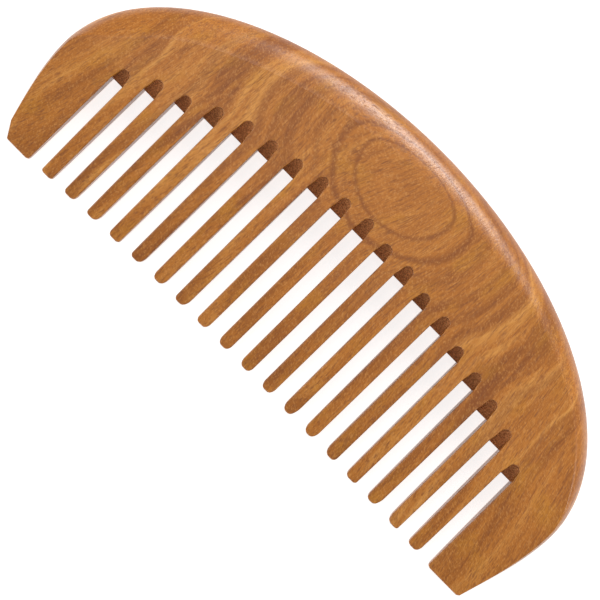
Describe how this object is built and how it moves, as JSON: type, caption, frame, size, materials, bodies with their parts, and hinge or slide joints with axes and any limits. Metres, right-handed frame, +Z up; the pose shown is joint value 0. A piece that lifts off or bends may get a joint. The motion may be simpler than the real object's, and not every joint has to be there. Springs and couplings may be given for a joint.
{
  "type": "wide tooth comb",
  "caption": "Half-moon wooden comb with wide-set teeth under an arched, rounded spine, and a broad guard tooth at each end.",
  "frame": {"origin": "middle of the comb's footprint, on the surface that it lies on", "axes": "+X along the comb's length, +Y from the tooth tips to the top of the spine, +Z up through the thickness"},
  "size_m": [0.14, 0.0608, 0.009],
  "materials": {
    "oiled_wood": "hand-sanded, oiled satin"
  },
  "bodies": {
    "root": {"spine": "oiled_wood", "guard_tooth_left": "oiled_wood", "tooth_01": "oiled_wood", "tooth_02": "oiled_wood", "tooth_03": "oiled_wood", "tooth_04": "oiled_wood", "tooth_05": "oiled_wood", "tooth_06": "oiled_wood", "tooth_07": "oiled_wood", "tooth_08": "oiled_wood", "tooth_09": "oiled_wood", "tooth_10": "oiled_wood", "tooth_11": "oiled_wood", "tooth_12": "oiled_wood", "tooth_13": "oiled_wood", "tooth_14": "oiled_wood", "tooth_15": "oiled_wood", "tooth_16": "oiled_wood", "tooth_17": "oiled_wood", "tooth_18": "oiled_wood", "guard_tooth_right": "oiled_wood"}
  },
  "joints": []
}
